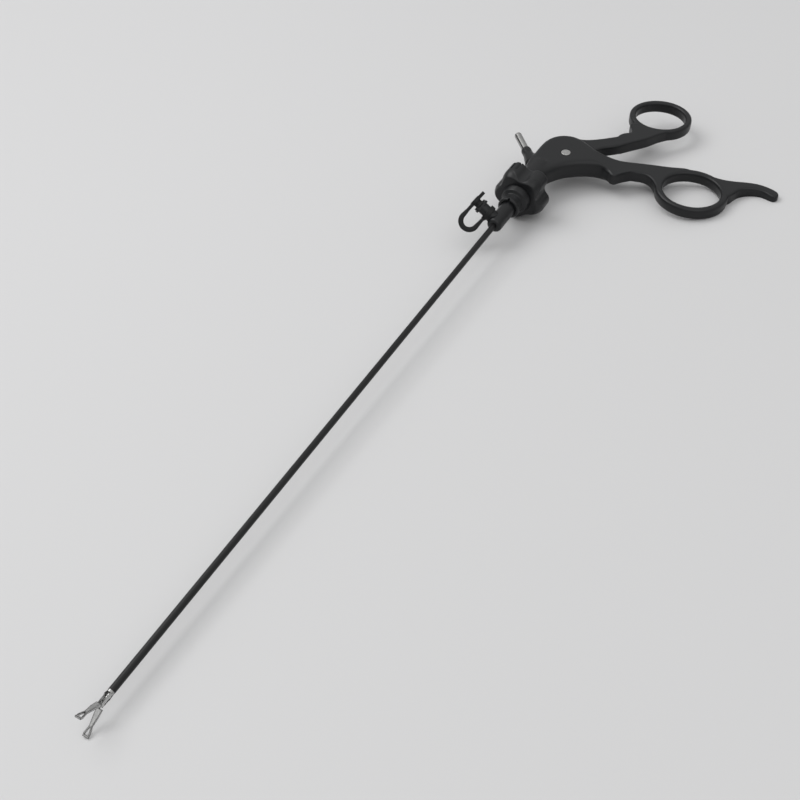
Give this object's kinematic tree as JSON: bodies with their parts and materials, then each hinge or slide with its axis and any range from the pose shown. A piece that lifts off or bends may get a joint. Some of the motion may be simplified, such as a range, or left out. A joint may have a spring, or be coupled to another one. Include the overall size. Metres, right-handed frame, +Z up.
{
  "type": "laparoscopic bipolar forceps",
  "caption": "Slim bipolar laparoscopic forceps: scissor handle, lobed rotation knob, flush port, insulated 3 mm shaft and two fenestrated jaws.",
  "frame": {"origin": "on the shaft axis at the nose of the flush housing, where the working length starts", "axes": "+X along the shaft to the jaws, the grips towards +Y, +Z up, square to the flat of the handle"},
  "size_m": [0.4635, 0.1429, 0.0275],
  "materials": {
    "black_moulding": "fine matte",
    "knob_moulding": "fine matte",
    "sheath": "satin",
    "stainless": "satin",
    "bright_steel": "polished",
    "insulator": "matte",
    "white_ptfe": "satin",
    "soft_rubber": "matte",
    "bearing_bronze": "satin"
  },
  "bodies": {
    "handle": {"handle_body": "black_moulding", "pivot_screw": "bright_steel", "pivot_nut": "bright_steel", "connector_pole_a": "bright_steel", "connector_pole_b": "bright_steel", "connector_insulator": "insulator"},
    "thumb_lever": {"thumb_lever": "black_moulding", "lever_bush": "bearing_bronze"},
    "rotator": {"rotation_knob": "knob_moulding", "knob_collar": "knob_moulding", "spindle": "stainless", "retaining_clip": "stainless", "slip_ring": "bearing_bronze", "flush_housing": "black_moulding", "flush_port": "black_moulding", "housing_seal": "soft_rubber", "shaft_tube": "stainless", "insulation_sheath": "sheath", "tip_ferrule": "bright_steel", "clevis": "stainless", "jaw_pin": "stainless", "jaw_insulator": "white_ptfe", "cap_strap": "soft_rubber"},
    "push_rod": {"push_rod": "stainless", "rod_ball": "stainless", "rod_insulation": "white_ptfe", "rod_yoke": "stainless", "drive_pin": "stainless"},
    "jaw_upper": {"jaw_upper": "stainless"},
    "jaw_lower": {"jaw_lower": "stainless"},
    "port_cap": {"port_cap": "soft_rubber"}
  },
  "joints": [
    {"name": "thumb_pivot", "type": "hinge", "parent": "handle", "child": "thumb_lever", "pos_m": [-0.0693, 0.0083, 0], "axis": [0, 0, -1], "range_deg": [0, 17]},
    {"name": "shaft_rotation", "type": "hinge", "parent": "handle", "child": "rotator", "pos_m": [-0.0355, 0, 0], "axis": [1, 0, 0], "continuous": true},
    {"name": "rod_slide", "type": "slide", "parent": "rotator", "child": "push_rod", "axis": [-1, 0, 0], "range_m": [0, 0.0025]},
    {"name": "jaw_upper_pivot", "type": "hinge", "parent": "rotator", "child": "jaw_upper", "pos_m": [0.306, 0, 0], "axis": [0, 1, 0], "range_deg": [0, 30.01]},
    {"name": "jaw_lower_pivot", "type": "hinge", "parent": "rotator", "child": "jaw_lower", "pos_m": [0.306, 0, 0], "axis": [0, -1, 0], "range_deg": [0, 30.01]},
    {"name": "cap_pull", "type": "slide", "parent": "rotator", "child": "port_cap", "axis": [0, -0.848, 0.5299], "range_m": [0, 0.009]}
  ],
  "couplings": [
    {"joint": "rod_slide", "follows": "thumb_pivot", "m_per_rad": 0.0083},
    {"joint": "jaw_upper_pivot", "follows": "thumb_pivot", "ratio": 1.7647},
    {"joint": "jaw_lower_pivot", "follows": "thumb_pivot", "ratio": 1.7647}
  ]
}
